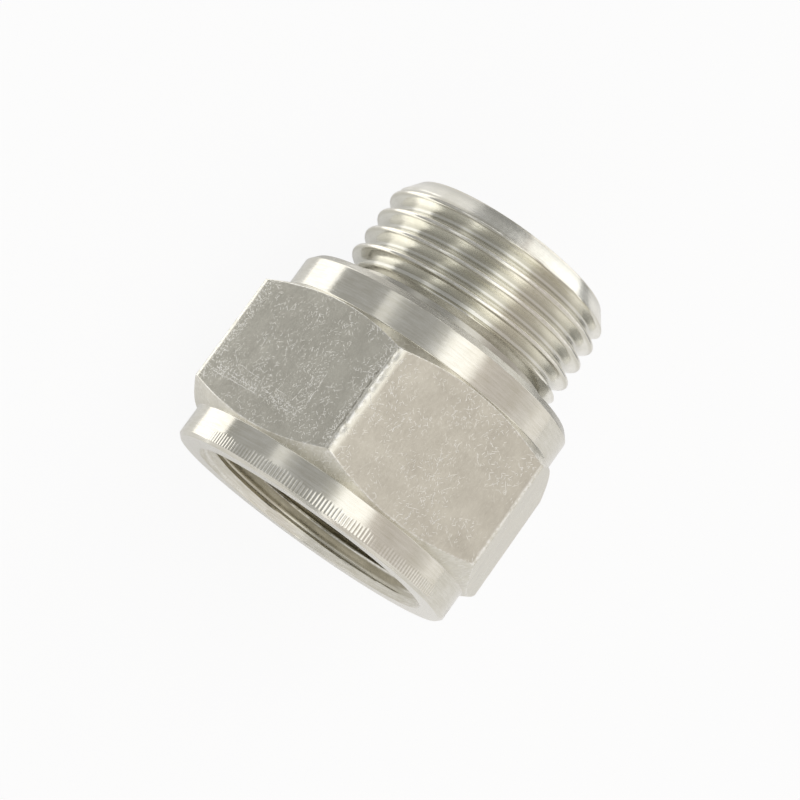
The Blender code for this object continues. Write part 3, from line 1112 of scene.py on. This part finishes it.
def make_floor():
    """A floor that is white to the camera and part white in reflections, and keeps the shadow."""
    material = bpy.data.materials.new("pale_floor")
    material.use_nodes = True
    tree = material.node_tree
    lit = tree.nodes["Principled BSDF"]
    lit.inputs["Base Color"].default_value = (*FLOOR_COLOUR, 1)
    lit.inputs["Roughness"].default_value = FLOOR_ROUGHNESS
    path = add_node(tree, "ShaderNodeLightPath").outputs
    rays = {"Camera": FLOOR_SEEN, "Glossy": FLOOR_MIRRORED, "Transmission": FLOOR_MIRRORED}
    white = 0.0
    for ray, share in rays.items():
        part = add_node(tree, "ShaderNodeMath", {0: path[f"Is {ray} Ray"], 1: share}, operation="MULTIPLY")
        more = add_node(tree, "ShaderNodeMath", {0: white, 1: part.outputs[0]}, operation="MAXIMUM")
        white = more.outputs[0]
    glow = add_node(tree, "ShaderNodeEmission")
    mix = add_node(tree, "ShaderNodeMixShader", {0: white, 1: lit.outputs[0], 2: glow.outputs[0]})
    tree.links.new(mix.outputs[0], tree.nodes["Material Output"].inputs["Surface"])
    signs = ((-1, -1), (1, -1), (1, 1), (-1, 1))
    stage_plane("floor", [(x * FLOOR_REACH, y * FLOOR_REACH, 0) for x, y in signs], material)


def make_card(name, near, far, height, level):
    """An upright card beside the object, seen only in the metal."""
    material = bpy.data.materials.new(name)
    material.use_nodes = True
    tree = material.node_tree
    glow = add_node(tree, "ShaderNodeEmission", {"Strength": level})
    tree.links.new(glow.outputs[0], tree.nodes["Material Output"].inputs["Surface"])
    card = stage_plane(name, [(*near, 0), (*far, 0), (*far, height), (*near, height)], material)
    card.visible_camera = False
    card.visible_diffuse = False
    card.visible_shadow = False
    card.visible_transmission = False


def tent_ramp(tree, turn, levels):
    """The tent's colour by the angle round the cable axis, given as a share of half a turn."""
    ramp = add_node(tree, "ShaderNodeValToRGB", {0: turn})
    stops = ramp.color_ramp.elements
    while len(stops) < len(levels):
        stops.new(0.5)
    for stop, (angle, level, warm) in zip(stops, levels):
        stop.position = angle / 180
        tint = [1 + (w - 1) * warm for w in TENT_WARMTH]
        stop.color = (*shaded(tint, level / TENT_PEAK), 1)
    return ramp.outputs[0]


def make_world():
    """A light tent, brighter and darker in bands along the cable axis, and a pale sky to the camera."""
    world = bpy.data.worlds.new("studio")
    world.use_nodes = True
    bpy.context.scene.world = world
    tree = world.node_tree
    toward = add_node(tree, "ShaderNodeTexCoord").outputs["Generated"]
    x, y, z = add_node(tree, "ShaderNodeSeparateXYZ", {0: toward}).outputs
    angle = add_node(tree, "ShaderNodeMath", {0: z, 1: y}, operation="ARCTAN2").outputs[0]
    turn = add_node(tree, "ShaderNodeMath", {0: angle, 1: math.pi}, operation="DIVIDE").outputs[0]
    colour = tent_ramp(tree, turn, TENT)
    for levels, (low, high) in ((FLANK_TENT, FLANK_TENT_FROM), (TIP_TENT, TIP_TENT_FROM)):
        factor = add_node(tree, "ShaderNodeMapRange", {"Value": x, "From Min": low, "From Max": high})
        ends = {0: factor.outputs[0], 6: colour, 7: tent_ramp(tree, turn, levels)}
        colour = add_node(tree, "ShaderNodeMix", ends, data_type="RGBA").outputs[2]
    tent = tree.nodes["Background"]
    tent.inputs["Strength"].default_value = TENT_PEAK
    tree.links.new(colour, tent.inputs["Color"])
    sky = add_node(tree, "ShaderNodeBackground", {"Color": (1, 1, 1, 1), "Strength": SKY_SEEN})
    seen = add_node(tree, "ShaderNodeLightPath").outputs["Is Camera Ray"]
    mix = add_node(tree, "ShaderNodeMixShader", {0: seen, 1: tent.outputs[0], 2: sky.outputs[0]})
    tree.links.new(mix.outputs[0], tree.nodes["World Output"].inputs["Surface"])


def make_low_strip():
    """A soft lamp low on the +Y side, facing up, that puts the bright band on the collars' left."""
    data = bpy.data.lights.new("low_strip", "AREA")
    data.shape = "RECTANGLE"
    data.size = STRIP_LENGTH
    data.size_y = STRIP_TO - STRIP_FROM
    data.energy = STRIP_LEVEL * math.pi * data.size * data.size_y
    lamp = bpy.data.objects.new("low_strip", data)
    lamp.location = (STRIP_MIDDLE, (STRIP_FROM + STRIP_TO) / 2, STRIP_HEIGHT)
    lamp.rotation_euler = (math.pi, 0, 0)
    lamp.visible_camera = False
    bpy.context.scene.collection.objects.link(lamp)


def make_camera():
    data = bpy.data.cameras.new("photo_camera")
    data.sensor_fit = "HORIZONTAL"
    data.sensor_width = SENSOR_WIDTH
    data.lens = LENS
    data.clip_start = NEAREST
    data.clip_end = FARTHEST
    camera = bpy.data.objects.new("photo_camera", data)
    camera.location = CAMERA_PLACE
    camera.rotation_mode = "QUATERNION"
    camera.rotation_quaternion = Quaternion(CAMERA_TURN)
    bpy.context.scene.collection.objects.link(camera)
    bpy.context.scene.camera = camera


make_body()
make_screw()
make_slip_ring()
soft_pieces = [make_sealing_ring(), make_inner_seal()]
make_seat_washer()
for soft in soft_pieces:
    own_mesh(soft)

make_floor()
make_world()
for name, card in CARDS.items():
    make_card(name, *card)
make_low_strip()
make_camera()
bpy.context.scene.view_settings.view_transform = "Standard"
